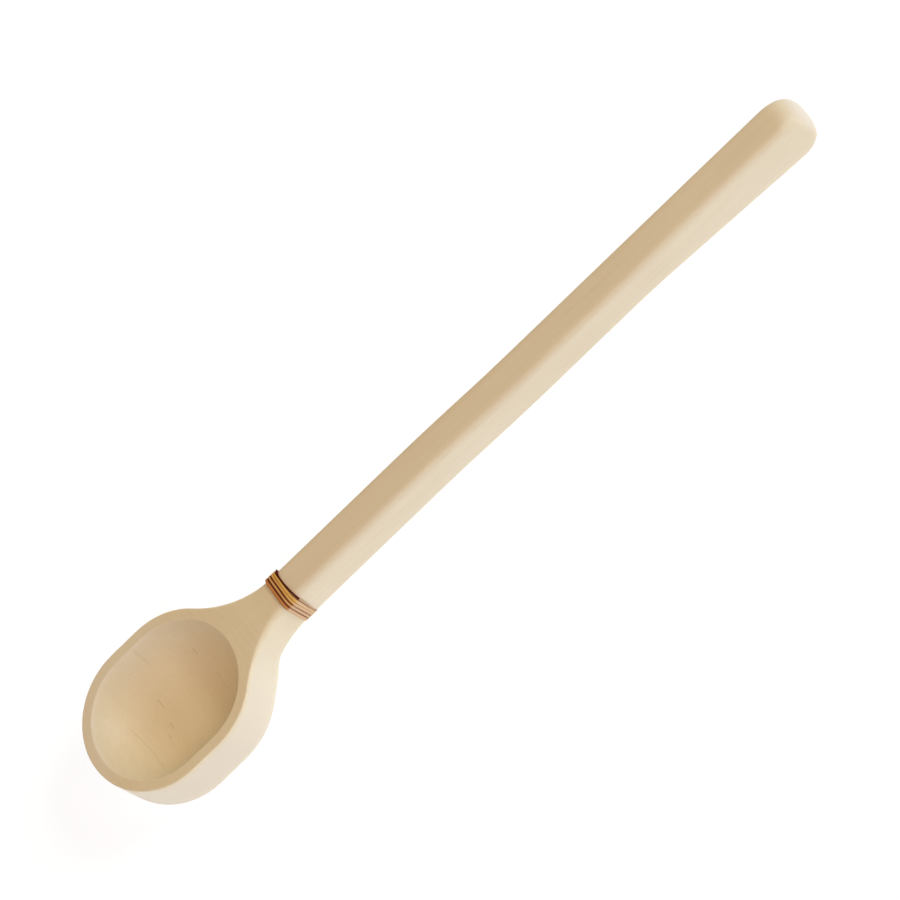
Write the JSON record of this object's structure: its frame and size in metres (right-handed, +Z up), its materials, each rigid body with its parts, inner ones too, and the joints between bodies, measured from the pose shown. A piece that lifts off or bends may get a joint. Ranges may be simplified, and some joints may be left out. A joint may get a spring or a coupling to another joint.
{
  "type": "sauna ladle",
  "caption": "Wooden sauna ladle: an oval carved bowl on a long straight handle, doweled at the neck and bound with cane, for pouring water over hot stones.",
  "frame": {"origin": "on the table, under the middle of the ladle's length and width, as it lies on its foot and the end of its handle", "axes": "+X from the bowl towards the handle's end, +Z up out of the bowl's mouth"},
  "size_m": [0.4, 0.068, 0.0278],
  "materials": {
    "head_wood": "pale close-grained wood, sanded smooth, unvarnished",
    "handle_wood": "pale close-grained wood, sanded smooth, unvarnished, faint grain along its length",
    "dowel_wood": "plain hardwood dowel, glued",
    "cane": "split cane strand, golden to red brown, slight gloss"
  },
  "bodies": {
    "root": {"bowl_head": "head_wood", "handle": "handle_wood", "joint_dowel": "dowel_wood", "binding": "cane"}
  },
  "joints": []
}
